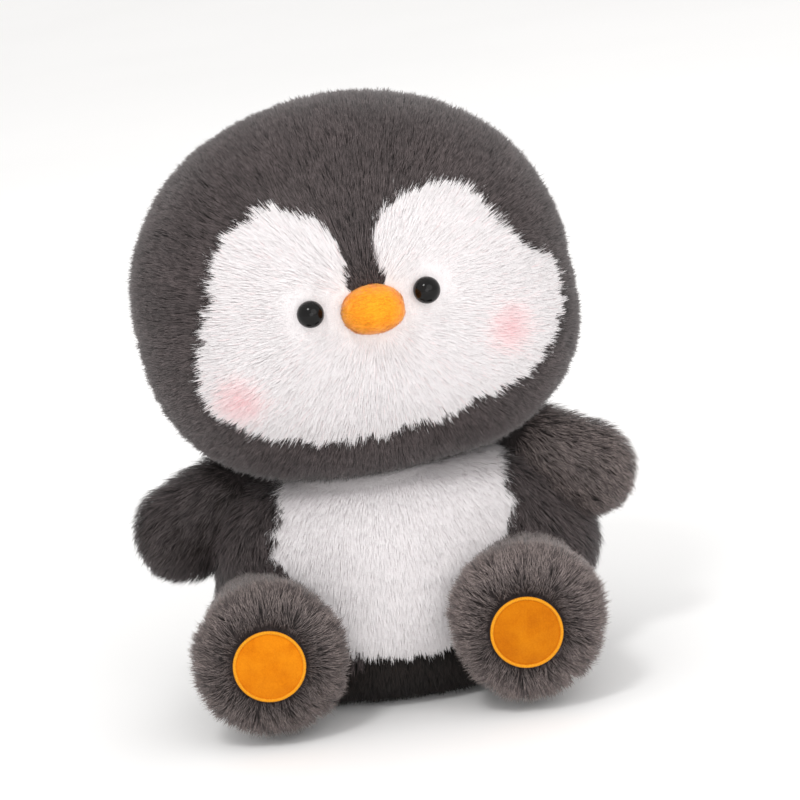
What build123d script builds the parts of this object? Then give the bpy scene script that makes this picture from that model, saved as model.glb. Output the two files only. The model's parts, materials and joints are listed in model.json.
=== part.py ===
from build123d import *
import math
import os

# Sitting plush penguin: a stuffed head, torso, two arms and two legs, each a
# sewn skin of pile fabric round its own stuffing, closed onto each other with
# hand-sewn ladder stitches.  +Z up, the toy looks along -Y, its left is +X.
# The origin is on the floor, under the middle of the whole toy's box.

os.makedirs("parts", exist_ok=True)

# ---------------------------------------------------------------- dimensions
PILE = 4.0            # skin: backing cloth and pressed pile
GAP = 0.4             # running gap between bodies that turn on each other

# head: an ellipsoid, wider than it is high
HEAD_A, HEAD_B, HEAD_C = 84.5, 70.0, 72.0
HEAD_CENTRE = (0.0, 8.0, 152.0)
HEAD_LEAN = -3.5      # resting lean to the toy's right
HEAD_TURN = 5.0       # resting turn to the toy's left

# neck: round shells about one centre
NECK = (0.0, 10.0, 62.0)
NECK_R = 34.0         # top of the torso under the head
THREAD_T = 2.0        # ladder stitch ring
WAD_T = 3.2           # firm wad of stuffing in the neck

# torso: an egg, flat underneath and under the head
TORSO_Y = 10.0
TORSO_A, TORSO_B, TORSO_C = 72.5, 58.0, 57.0
TORSO_Z = 30.0
TORSO_TOP = 75.0
SEAT_H = 11.0         # height of the dark seat panel's band; it rises to the belly between the legs

# arms: tapered round flippers
ARM_S = (59.0, 6.0, 73.0)
ARM_ROOT_R, ARM_TIP_R, ARM_LEN = 15.5, 18.5, 19.5
ARM_DROP_R = 27.0     # below level, toy's right
ARM_DROP_L = 14.0     # below level, toy's left
ARM_DOWN = 4.0        # furthest each arm drops below rest

# legs: short tubes with a flat sole, lying forward
LEG_H = (47.5, -29.0, 30.6)
LEG_R = 30.5
SOLE_Y = -78.0
SOLE_FLAT_R = 19.0
LEG_UP, LEG_DOWN = 25.0, 10.0
PAD_R, PAD_T = 13.2, 1.6

# face
EYE_X, EYE_Z, EYE_R = 21.6, 3.6, 4.9
BEAK_Z = 1.0
BEAK_A, BEAK_B, BEAK_C = 11.0, 12.5, 8.8
FACE = [(7.5, 12.5), (5.4, 21.0), (6.8, 30.0), (10.5, 37.0), (18.5, 40.8),
        (28.0, 42.0), (39.0, 38.5), (49.5, 29.0), (56.5, 16.5), (61.5, 3.5),
        (67.0, -8.0), (69.5, -19.0), (65.5, -31.0), (54.0, -40.5),
        (34.0, -46.0), (17.0, -49.3), (0.0, -50.0)]
BELLY = [(0.0, 91.0), (22.0, 90.5), (36.0, 88.0), (41.0, 82.0), (44.0, 72.0),
         (46.5, 60.0), (46.0, 48.0), (42.0, 36.0), (34.0, 25.5), (21.0, 19.0),
         (0.0, 17.0)]


# ------------------------------------------------------------------- helpers
def ellipsoid(a, b, c, at=(0, 0, 0)):
    return Pos(*at) * scale(Sphere(1), by=(a, b, c))


def block(x0, x1, y0, y1, z0, z1):
    return Pos((x0 + x1) / 2, (y0 + y1) / 2, (z0 + z1) / 2) * Box(x1 - x0, y1 - y0, z1 - z0)


def mirror_outline(half):
    """Closed outline from its right half, listed top or notch first and bottom last."""
    left = [(-x, z) for x, z in reversed(half) if abs(x) > 1e-6]
    return half + left


def outline_prism(points, y0, y1):
    line = Spline(*[(x, y0, z) for x, z in points], periodic=True)
    return extrude(make_face(line), amount=abs(y1 - y0), dir=(0, math.copysign(1, y1 - y0), 0))


def tapered(r0, r1, length):
    """Two spheres and the cone that joins them, along +X from the root's centre."""
    s = math.asin((r0 - r1) / length)
    ax, ay = r0 * math.sin(s), r0 * math.cos(s)
    bx, by = length + r1 * math.sin(s), r1 * math.cos(s)
    lines = [ThreePointArc((-r0, 0, 0), (r0 * math.cos((math.pi + math.pi / 2 - s) / 2), 0,
                                         r0 * math.sin((math.pi + math.pi / 2 - s) / 2)), (ax, 0, ay)),
             Line((ax, 0, ay), (bx, 0, by)),
             ThreePointArc((bx, 0, by), (length + r1 * math.cos((math.pi / 2 - s) / 2), 0,
                                         r1 * math.sin((math.pi / 2 - s) / 2)), (length + r1, 0, 0)),
             Line((length + r1, 0, 0), (-r0, 0, 0))]
    return revolve(make_face(lines), Axis.X)


def leg_shape(r, sole, flat, edge):
    """Round at the hip, straight, and rounded to a flat sole; hip centre at the origin, sole at -Y."""
    d = -sole
    lines = [ThreePointArc((0, r, 0), (r * math.sin(math.pi / 4), r * math.cos(math.pi / 4), 0), (r, 0, 0)),
             Line((r, 0, 0), (r, -(d - edge), 0)),
             ThreePointArc((r, -(d - edge), 0),
                           (r - (r - flat) * (1 - math.cos(math.pi / 4)),
                            -(d - edge) - edge * math.sin(math.pi / 4), 0), (flat, -d, 0)),
             Line((flat, -d, 0), (0, -d, 0)), Line((0, -d, 0), (0, r, 0))]
    return revolve(make_face(lines), Axis.Y)


def solids_of(shape):
    return [s for s in shape.solids() if s.volume > 0.5]


def save(shape, name, colour):
    parts = solids_of(shape)
    body = parts[0] if len(parts) == 1 else Compound(children=parts)
    body.label, body.color = name, Color(*colour)
    export_step(body, f"parts/{name}.step")
    print(f"{name:28s} {len(parts)} {sum(s.volume for s in parts) / 1000:9.3f} cm3")


DARK, WHITE, CREAM = (0.2, 0.18, 0.17), (0.92, 0.9, 0.9), (0.85, 0.8, 0.7)
ORANGE, BLACK, THREAD = (0.95, 0.5, 0.1), (0.03, 0.03, 0.03), (0.1, 0.1, 0.1)
BIG = 200

# ---------------------------------------------------------------------- neck
WAD_IN = NECK_R + GAP + THREAD_T + GAP
NECK_OUT = WAD_IN + WAD_T + GAP
neck_hole = Pos(*NECK) * Sphere(NECK_OUT)


def cone_band(r0, r1, a0, a1):
    """Part of a round shell about the neck's centre, between two angles from upright."""
    def at(r, a):
        return (r * math.sin(math.radians(a)), 0, r * math.cos(math.radians(a)))
    m = (a0 + a1) / 2
    edge = [ThreePointArc(at(r1, a0), at(r1, m), at(r1, a1)), Line(at(r1, a1), at(r0, a1)),
            ThreePointArc(at(r0, a1), at(r0, m), at(r0, a0))]
    if a0 > 0:
        edge.append(Line(at(r0, a0), at(r1, a0)))
    else:
        edge.append(Line((0, 0, r0), (0, 0, r1)))
    return Pos(*NECK) * revolve(make_face(edge), Axis.Z)


save(cone_band(NECK_R + GAP, NECK_R + GAP + THREAD_T, 38, 52), "neck_seam_thread", THREAD)
save(cone_band(WAD_IN, WAD_IN + WAD_T, 0, 50), "neck_stuffing", CREAM)

# ---------------------------------------------------------------------- head
rest = Pos(*HEAD_CENTRE) * Rot(0, 0, HEAD_TURN) * Rot(0, HEAD_LEAN, 0)
hole_local = rest.inverse() * neck_hole
outer = ellipsoid(HEAD_A, HEAD_B, HEAD_C)
inner = ellipsoid(HEAD_A - PILE, HEAD_B - PILE, HEAD_C - PILE)
shell = (outer - inner) - hole_local
face_tool = outline_prism(mirror_outline(FACE), -2.0, -120.0)


def surface_y(x, z, less=0.0):
    a, b, c = HEAD_A - less, HEAD_B - less, HEAD_C - less
    return -b * math.sqrt(1 - (x / a) ** 2 - (z / c) ** 2)


def eye_frame(sx):
    x, z = sx * EYE_X, EYE_Z
    y = surface_y(x, z)
    n = Vector(x / HEAD_A ** 2, y / HEAD_B ** 2, z / HEAD_C ** 2).normalized()
    return Plane(origin=(x, y, z), z_dir=n, x_dir=(1, 0, 0) if abs(n.X) < 0.9 else (0, 0, 1))


def eye_solid(grow=0.0):
    """A flattened dome with a plain shank behind it; Z is outwards from the face."""
    r = EYE_R + grow
    dome = (Sphere(r) & block(-9, 9, -9, 9, -1.2 - grow, 9))
    shank = Pos(0, 0, -6.2) * Cylinder(1.6, 10.4 + grow)
    return Pos(0, 0, -0.6) * (dome + shank)


eyes, washers = {}, {}
for name, sx in (("left", 1), ("right", -1)):
    f = eye_frame(sx).location
    eyes[name] = f * eye_solid()
    washers[name] = f * Pos(0, 0, -6.0) * (Cylinder(6.0, 1.5) - Cylinder(1.6, 4))

beak_outer = ellipsoid(BEAK_A, BEAK_B, BEAK_C, (0, -HEAD_B + 1.0, BEAK_Z))
beak_inner = ellipsoid(BEAK_A - 1.6, BEAK_B - 1.6, BEAK_C - 1.6, (0, -HEAD_B + 1.0, BEAK_Z))
beak_cover = (beak_outer - beak_inner) - outer
beak_fill = beak_inner - outer

eye_cut = {n: eyes[n] for n in eyes}
face = shell & face_tool
others = shell - face_tool
for n in eyes:
    face = face - eye_cut[n]
crown = others & block(-BIG, BIG, -BIG, 0, -16, BIG)
chin = others & block(-BIG, BIG, -BIG, 0, -BIG, -16)
back = {"left": others & block(0, BIG, 0, BIG, -BIG, BIG), "right": others & block(-BIG, 0, 0, BIG, -BIG, BIG)}
stuffing = inner - hole_local
for n in eyes:
    stuffing = stuffing - eyes[n] - washers[n]
    stuffing = stuffing - (eye_frame(1 if n == "left" else -1).location * Pos(0, 0, -6.0) * Cylinder(6.0, 1.5))

half = {"left": block(0, BIG, -BIG, BIG, -BIG, BIG), "right": block(-BIG, 0, -BIG, BIG, -BIG, BIG)}
for n, h in half.items():
    save(rest * (face & h), f"face_panel_{n}", WHITE)
    save(rest * (chin & h), f"chin_panel_{n}", DARK)
    save(rest * back[n], f"head_back_panel_{n}", DARK)
    save(rest * eyes[n], f"eye_{n}", BLACK)
    save(rest * washers[n], f"eye_washer_{n}", WHITE)
save(rest * crown, "crown_panel", DARK)
save(rest * stuffing, "head_stuffing", CREAM)
save(rest * beak_cover, "beak_cover", ORANGE)
save(rest * beak_fill, "beak_stuffing", CREAM)

# ---------------------------------------------------------------------- arms
arm_limits = {}


def arm_pose(sx, drop, raised=0.0):
    """Root's centre and direction: along +X for the left arm, mirrored for the right."""
    turn = (drop - raised) if sx > 0 else 180 - (drop - raised)
    return Pos(sx * ARM_S[0], ARM_S[1], ARM_S[2]) * Rot(0, turn, 0)


def arm_cuts(sx, drop):
    """What the torso leaves free for one arm, a pose at a time."""
    cuts = [Pos(sx * ARM_S[0], ARM_S[1], ARM_S[2]) * Sphere(ARM_ROOT_R + GAP)]
    for raised in (-ARM_DOWN - 2.0, 0.0):
        for t in (0.25, 0.5, 0.75, 1.0):
            r = ARM_ROOT_R + t * (ARM_TIP_R - ARM_ROOT_R) + GAP + 0.3
            cuts.append(arm_pose(sx, drop, raised) * Pos(t * ARM_LEN, 0, 0) * Sphere(r))
    return cuts


def leg_pose(sx, raised=0.0):
    return Pos(sx * LEG_H[0], LEG_H[1], LEG_H[2]) * Rot(-raised, 0, 0)


LEG_D = LEG_H[1] - SOLE_Y


def leg_cuts(sx):
    """What the torso leaves free for one leg."""
    cuts = [leg_pose(sx) * Sphere(LEG_R + GAP)]
    for i, raised in enumerate((-LEG_DOWN, 0.0, LEG_UP / 2, LEG_UP)):
        tube = Pos(0, -35, 0) * Rot(90, 0, 0) * Cylinder(LEG_R + GAP + 0.4 + 0.3 * i, 70)
        cuts.append(leg_pose(sx, raised) * tube)
    return cuts


ARM_DROP = {"left": ARM_DROP_L, "right": ARM_DROP_R}
SIDE = {"left": 1, "right": -1}
arm_out = tapered(ARM_ROOT_R, ARM_TIP_R, ARM_LEN)
arm_in = tapered(ARM_ROOT_R - PILE + 0.5, ARM_TIP_R - PILE + 0.5, ARM_LEN)
for n, sx in SIDE.items():
    pose = arm_pose(sx, ARM_DROP[n])
    skin = arm_out - arm_in
    save(pose * (skin & block(-BIG, BIG, -BIG, 0, -BIG, BIG)), f"arm_{n}_front_panel", DARK)
    save(pose * (skin & block(-BIG, BIG, 0, BIG, -BIG, BIG)), f"arm_{n}_back_panel", DARK)
    save(pose * arm_in, f"arm_{n}_stuffing", CREAM)

# ---------------------------------------------------------------------- legs
leg_out = leg_shape(LEG_R, -LEG_D, SOLE_FLAT_R, 13.0)
leg_in = leg_shape(LEG_R - PILE, -(LEG_D - PILE), SOLE_FLAT_R - 2, 10.5)
PAD_DEPTH = 1.2       # the pad lies this far down in the pile
pad_hole = Pos(0, -LEG_D + (PAD_DEPTH + PAD_T) / 2 - 0.5, 0) * Rot(90, 0, 0) * Cylinder(PAD_R, PAD_DEPTH + PAD_T + 1.0)
pad = Pos(0, -LEG_D + PAD_DEPTH + PAD_T / 2, 0) * Rot(90, 0, 0) * Cylinder(PAD_R, PAD_T)
stitch = Pos(0, -LEG_D + PAD_DEPTH - 0.4, 0) * Rot(90, 0, 0) * (Cylinder(PAD_R, 0.8) - Cylinder(PAD_R - 1.1, 2))
for n, sx in SIDE.items():
    pose = leg_pose(sx)
    skin = leg_out - leg_in - pad_hole
    front = block(-BIG, BIG, -BIG, -(LEG_D - 10.0), -BIG, BIG)
    save(pose * (skin - front), f"leg_{n}_tube_panel", DARK)
    save(pose * (skin & front), f"leg_{n}_sole_panel", DARK)
    save(pose * pad, f"sole_pad_{n}", ORANGE)
    save(pose * stitch, f"sole_pad_stitching_{n}", ORANGE)
    save(pose * leg_in, f"leg_{n}_stuffing", CREAM)

# --------------------------------------------------------------------- torso
torso_out = ellipsoid(TORSO_A, TORSO_B, TORSO_C, (0, TORSO_Y, TORSO_Z)) & block(-BIG, BIG, -BIG, BIG, 0, TORSO_TOP)
torso_in = (ellipsoid(TORSO_A - PILE, TORSO_B - PILE, TORSO_C - PILE, (0, TORSO_Y, TORSO_Z))
            & block(-BIG, BIG, -BIG, BIG, PILE, TORSO_TOP - PILE))
torso_out = torso_out + Pos(*NECK) * Sphere(NECK_R)
torso_in = torso_in + Pos(*NECK) * Sphere(NECK_R - PILE)
torso_shell = torso_out - torso_in
fill = torso_in
for n, sx in SIDE.items():
    for cut in arm_cuts(sx, ARM_DROP[n]) + leg_cuts(sx):
        torso_shell = torso_shell - cut
    # the stuffing stands back from the hollows
    fill = fill - Pos(sx * ARM_S[0], ARM_S[1], ARM_S[2]) * Sphere(ARM_ROOT_R + PILE)
    if ARM_DROP[n] > 20:
        fill = fill - arm_pose(sx, ARM_DROP[n], -ARM_DOWN / 2) * Pos(ARM_LEN, 0, 0) * Sphere(ARM_TIP_R + 3.5)
    fill = fill - leg_pose(sx) * Sphere(LEG_R + PILE)
    fill = fill - leg_pose(sx, LEG_UP / 2) * Pos(0, -35, 0) * Rot(90, 0, 0) * Cylinder(LEG_R + 6.5, 70)

belly_tool = outline_prism(mirror_outline(BELLY), TORSO_Y - 6, -120.0)
belly = torso_shell & belly_tool
seat_zone = block(-BIG, BIG, -BIG, BIG, -5, SEAT_H) + block(-30, 30, -BIG, TORSO_Y - 32, -5, 24)
rest_of_torso = torso_shell - belly_tool
seat = rest_of_torso & seat_zone
sides = rest_of_torso - seat_zone
save(belly, "belly_panel", WHITE)
save(seat, "seat_panel", DARK)
for n, h in half.items():
    save(sides & h, f"back_panel_{n}", DARK)

# weighting pellets in a cloth pouch, low in the seat
pouch_out = ellipsoid(30, 22, 12, (0, TORSO_Y + 14, PILE + 14))
pouch_in = ellipsoid(29, 21, 11, (0, TORSO_Y + 14, PILE + 14))
save(pouch_out - pouch_in, "pellet_pouch", CREAM)
save(pouch_in, "pellet_fill", WHITE)
save(fill - pouch_out, "torso_stuffing", CREAM)

# back closing seam: a run of ladder stitches down the middle of the back
back_y = TORSO_Y + TORSO_B
stitches = None
for z in range(22, 41, 6):
    s = Pos(0, back_y + 0.5, z) * Box(4.0, 0.9, 1.0)
    s = s - torso_out
    stitches = s if stitches is None else stitches + s
save(stitches, "back_closing_stitches", THREAD)
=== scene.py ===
import json
import math
import bmesh
import bpy
import numpy as np
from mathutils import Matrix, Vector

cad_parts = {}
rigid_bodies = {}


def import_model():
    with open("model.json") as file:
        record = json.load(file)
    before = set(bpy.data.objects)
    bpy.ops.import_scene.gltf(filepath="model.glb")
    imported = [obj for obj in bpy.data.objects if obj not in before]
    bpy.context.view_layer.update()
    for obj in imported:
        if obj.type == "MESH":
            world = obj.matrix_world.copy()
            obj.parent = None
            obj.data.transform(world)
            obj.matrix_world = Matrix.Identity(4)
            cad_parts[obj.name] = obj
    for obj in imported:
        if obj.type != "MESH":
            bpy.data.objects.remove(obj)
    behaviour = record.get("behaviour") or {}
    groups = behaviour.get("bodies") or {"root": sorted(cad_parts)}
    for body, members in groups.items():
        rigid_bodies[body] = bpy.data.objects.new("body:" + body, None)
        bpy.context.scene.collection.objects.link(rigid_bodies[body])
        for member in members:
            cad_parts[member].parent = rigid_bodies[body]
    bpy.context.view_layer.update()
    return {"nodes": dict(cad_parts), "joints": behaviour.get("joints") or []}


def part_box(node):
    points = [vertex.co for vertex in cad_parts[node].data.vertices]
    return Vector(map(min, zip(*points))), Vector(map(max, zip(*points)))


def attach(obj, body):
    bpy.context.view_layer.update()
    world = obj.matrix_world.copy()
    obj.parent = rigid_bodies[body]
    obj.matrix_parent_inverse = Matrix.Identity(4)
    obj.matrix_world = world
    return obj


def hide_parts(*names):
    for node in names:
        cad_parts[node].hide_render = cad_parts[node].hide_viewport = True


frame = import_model()
rng = np.random.default_rng(41)
MM = 0.001
joints = {j["name"]: j for j in frame["joints"]}


def mid(node):
    lo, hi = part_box(node)
    return (np.array(lo) + np.array(hi)) / 2 / MM


def rot(axis, deg):
    c, s = math.cos(math.radians(deg)), math.sin(math.radians(deg))
    return np.array({"X": [[1, 0, 0], [0, c, -s], [0, s, c]],
                     "Y": [[c, 0, s], [0, 1, 0], [-s, 0, c]],
                     "Z": [[c, -s, 0], [s, c, 0], [0, 0, 1]]}[axis])


# ------------------------------------------------------------ layout, in mm
NECK = np.array(joints["head_turn"]["pos_m"]) / MM
_h = np.array([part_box("head_stuffing")[0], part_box("head_stuffing")[1]]) / MM
_c = np.array([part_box("crown_panel")[0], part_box("crown_panel")[1]]) / MM
HEAD = np.array([_h[:, 0].mean(), _h[:, 1].mean(), _c[1, 2] - 72.0])
HEAD_R = rot("Z", 5.0) @ rot("Y", -3.5)
SHOULDER = {s: np.array(joints[f"arm_{s}_raise"]["pos_m"]) / MM for s in ("left", "right")}
HIP = {s: np.array(joints[f"leg_{s}_raise"]["pos_m"]) / MM for s in ("left", "right")}
PAD = {s: mid(f"sole_pad_{s}") for s in ("left", "right")}
SIGN = {"left": 1.0, "right": -1.0}
ARM_DROP = {"left": 29.0, "right": 28.0}
ARM_SHIFT = {"left": np.array([0.6, 0, 6.4]), "right": np.array([2.2, 0, 2.6])}
LEG_SHIFT = {"left": np.array([0.2, 0, 2.4]), "right": np.array([0.6, 0, 0.4])}
LEG_SIZE = {"left": 1.045, "right": 1.02}
PAD_SHIFT = {"left": np.array([-1.3, 0, -1.1]), "right": np.array([0, 0, 0.7])}


def closed_curve(points, n=12):
    """A smooth closed line through the points (Catmull-Rom)."""
    p = np.array(points, float)
    out = []
    for i in range(len(p)):
        a, b, c, d = p[i - 1], p[i], p[(i + 1) % len(p)], p[(i + 2) % len(p)]
        for t in np.arange(n) / n:
            out.append(0.5 * ((2 * b) + (c - a) * t + (2 * a - 5 * b + 4 * c - d) * t ** 2
                              + (3 * b - a - 3 * c + d) * t ** 3))
    return np.array(out)


def mirrored(half):
    return half + [(-x, z) for x, z in reversed(half) if abs(x) > 1e-6]


def inside(poly, x, z):
    """Which points lie inside a closed line."""
    r = np.zeros(len(x), bool)
    a = poly
    b = np.roll(poly, -1, 0)
    for (x0, z0), (x1, z1) in zip(a, b):
        if z0 == z1:
            continue
        k = ((z0 > z) != (z1 > z)) & (x < (x1 - x0) * (z - z0) / (z1 - z0) + x0)
        r ^= k
    return r


# where the pale fur's tips end, seen from the front: head's own frame, then the torso's
FACE = closed_curve([(0.8, 5.0), (9.2, 12.6), (6.4, 18.5), (5.6, 25.0), (9.4, 33.0), (16.4, 38.2), (24.5, 40.2),
                     (35.0, 39.8), (42.9, 36.2), (49.8, 29.8), (57.8, 16.6), (67.0, 5.6), (73.8, -4.6), (75.2, -15.2),
                     (72.4, -24.0), (67.2, -31.6), (60.5, -37.0), (51.7, -41.0), (39.5, -43.4), (25.4, -46.2),
                     (13.7, -48.3), (0.9, -49.0), (-16.4, -49.0), (-28.0, -48.2), (-43.7, -43.6), (-56.1, -37.3),
                     (-64.0, -28.0), (-66.0, -16.5), (-61.6, 1.0), (-56.6, 16.7), (-50.6, 30.1), (-41.1, 38.7),
                     (-30.2, 42.6), (-21.3, 42.0), (-12.4, 36.9), (-7.6, 28.3), (-6.0, 18.5), (-8.0, 11.6)])
BELLY = closed_curve([(5, 94), (28, 93), (42, 90), (45.5, 82), (47, 72), (47.6, 62), (44.2, 55), (39.5, 46),
                      (33.0, 36), (30.0, 26), (24, 18.0), (12, 17.0), (-1, 17.6), (-19, 21.5), (-27, 31),
                      (-33.6, 43), (-41.0, 55), (-42.6, 60), (-38.5, 69), (-36.0, 76), (-33.5, 84), (-28, 91)])
BLUSH = ((-49.5, -24.7), (48.1, -18.4))


# ------------------------------------------------------- shapes of the skins
def egg_norm(x, y, z, a, b, c, n):
    h = np.sqrt((x / a) ** 2 + (y / b) ** 2)
    return (h ** n + np.abs(z / c) ** n) ** (1 / n)


def head_shape(p):
    """Head skin in the head's own frame: domed on top, full and squarer at the cheeks."""
    x, y, z = p.T
    t = np.clip((6.0 - z) / 34.0, 0, 1)
    t = t * t * (3 - 2 * t)
    n = 2.04 + t * (0.62 + 0.42 * np.clip(x / 40, 0, 1))
    u = np.clip((2.0 - z) / 32.0, 0, 1)
    x = (x + 0.8) / (1 + np.where(x > 0, 0.026, 0.0) * u * u * (3 - 2 * u))
    f = (egg_norm(x, y, z, 79.7, 66.0, 68.0, n) - 1) * 68
    # a hollow round the neck joint, where the head sits on the torso
    q = HEAD + p @ HEAD_R.T - NECK
    f = np.maximum(f, 41.2 - np.sqrt((q ** 2).sum(1)))
    return f


T_R = np.array([42, 57.0, 66.5, 70.5, 71.0, 70.0, 67.5, 63.5, 58.5, 52.5, 45.5, 38.0])
T_Z = np.array([0.7, 5.0, 14.0, 28.0, 40.0, 51.0, 61.0, 70.0, 77.0, 81.5, 84.0, 85.0])
_tz = np.linspace(0.7, 85, 240)
_tr = np.interp(_tz, T_Z, T_R)
_k = np.hanning(25); _k /= _k.sum()
_tr = np.convolve(np.pad(_tr, 12, mode="edge"), _k, mode="valid")


def torso_shape(p):
    x, y, z = p.T
    x = x - 2.6 * np.clip((z - 20) / 60, 0, 1) - 6.0 * np.exp(-((z - 42) / 16) ** 2)
    y = y - 10
    ang = np.arctan2(-y / 0.79, x)
    h = np.sqrt(x ** 2 + (y / 0.79) ** 2)
    # belly pushed out a little in front
    h = h / (1 + 0.05 * np.clip(np.sin(ang), 0, 1) ** 2 * np.exp(-((z - 38) / 30) ** 2))
    side = h - np.interp(z, _tz, _tr)
    f = np.maximum(side, np.maximum(0.7 - z, z - 85.0))
    q = p - NECK
    return np.minimum(f, np.sqrt((q ** 2).sum(1)) - 33.0)


def arm_shape(p):
    """Arm skin from the shoulder, along +X."""
    x, y, z = p.T
    L, r0, r1 = 20.0, 15.0, 16.2
    q = np.stack([x, y / 0.9, z], 1)
    t = np.clip(x / L, 0, 1)
    d = q.copy(); d[:, 0] -= t * L
    return np.sqrt((d ** 2).sum(1)) - (r0 + (r1 - r0) * t)


LEG_D = float(HIP["left"][1] - (PAD["left"][1] - 2.0))


def leg_shape(p):
    """Leg skin from the hip, along -Y, with a rounded sole."""
    x, y, z = p.T
    s = np.clip(-y / 42.0, 0, 1)
    r = 20.8 + 4.2 * s * s * (3 - 2 * s)
    h = np.sqrt(x ** 2 + z ** 2)
    a = np.where(y > 0, np.sqrt(h ** 2 + y ** 2), h) - r
    b = -y - (LEG_D - 3.4)
    R = 12.5
    # the fur side of the sole swells round the pad
    return np.minimum(np.maximum(a + R, b + R), 0) + np.sqrt(np.maximum(a + R, 0) ** 2 + np.maximum(b + R, 0) ** 2) - R


def beak_shape(p):
    x, y, z = p.T
    top = np.clip(z / 9.0, -1, 1)
    a = 11.3 * (1 - 0.05 * top)
    n = 2.15
    return ((np.abs(x / a) ** n + np.abs(y / 12.0) ** n + np.abs(z / 8.6) ** n) ** (1 / n) - 1) * 10


def ico(level):
    bm = bmesh.new()
    bmesh.ops.create_icosphere(bm, subdivisions=level, radius=1.0)
    v = np.array([x.co[:] for x in bm.verts])
    f = np.array([[q.index for q in x.verts] for x in bm.faces])
    bm.free()
    return v, f


ICO = {}


def skin_of(shape, centre, level, reach=150.0, squeeze=(1, 1, 1)):
    """A mesh of the shape, by sending a ray from its centre to its surface."""
    if level not in ICO:
        ICO[level] = ico(level)
    u, f = ICO[level]
    u = u * np.array(squeeze)
    u = u / np.linalg.norm(u, axis=1)[:, None]
    lo, hi = np.zeros(len(u)), np.full(len(u), reach)
    c = np.array(centre, float)
    for _ in range(24):
        m = (lo + hi) / 2
        s = shape(c + u * m[:, None]) < 0
        lo, hi = np.where(s, m, lo), np.where(s, hi, m)
    return c + u * lo[:, None], f


def normals_of(v, f):
    a, b, c = v[f[:, 0]], v[f[:, 1]], v[f[:, 2]]
    n = np.cross(b - a, c - a)
    out = np.zeros_like(v)
    for i in range(3):
        np.add.at(out, f[:, i], n)
    return out / np.maximum(np.linalg.norm(out, axis=1)[:, None], 1e-12)


def relax(v, f, keep=0.5, times=2):
    """Softens creases the way stuffing does."""
    e = np.concatenate([f[:, [0, 1]], f[:, [1, 2]], f[:, [2, 0]]])
    for _ in range(times):
        s = np.zeros_like(v); k = np.zeros(len(v))
        np.add.at(s, e[:, 0], v[e[:, 1]]); np.add.at(k, e[:, 0], 1)
        v = v * keep + (1 - keep) * s / np.maximum(k, 1)[:, None]
    return v


def swell(p, amount, size, seed):
    """Slow lumps of stuffing under a skin: a smooth value for each point."""
    r = np.random.default_rng(seed)
    out = np.zeros(len(p))
    for _ in range(7):
        d = r.normal(size=3); d /= np.linalg.norm(d)
        out += np.sin(p @ d * (2 * math.pi / (size * r.uniform(0.7, 1.5))) + r.uniform(0, 6.28))
    return amount * out / 7 ** 0.5


# ---------------------------------------------------------------- materials
def srgb(r, g, b):
    return tuple(((v / 255 + 0.055) / 1.055) ** 2.4 if v > 10 else v / 255 / 12.92 for v in (r, g, b)) + (1.0,)


MATS = {}


def plain(name, colour, rough=0.7, sheen=0.0, spec=0.25, sub=0.0):
    if name in MATS:
        return MATS[name]
    m = bpy.data.materials.new(name); m.use_nodes = True
    b = m.node_tree.nodes["Principled BSDF"]
    b.inputs["Base Color"].default_value = colour
    b.inputs["Roughness"].default_value = rough
    b.inputs["Sheen Weight"].default_value = sheen
    b.inputs["Sheen Roughness"].default_value = 0.4
    b.inputs["Specular IOR Level"].default_value = spec
    MATS[name] = m
    return m


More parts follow.
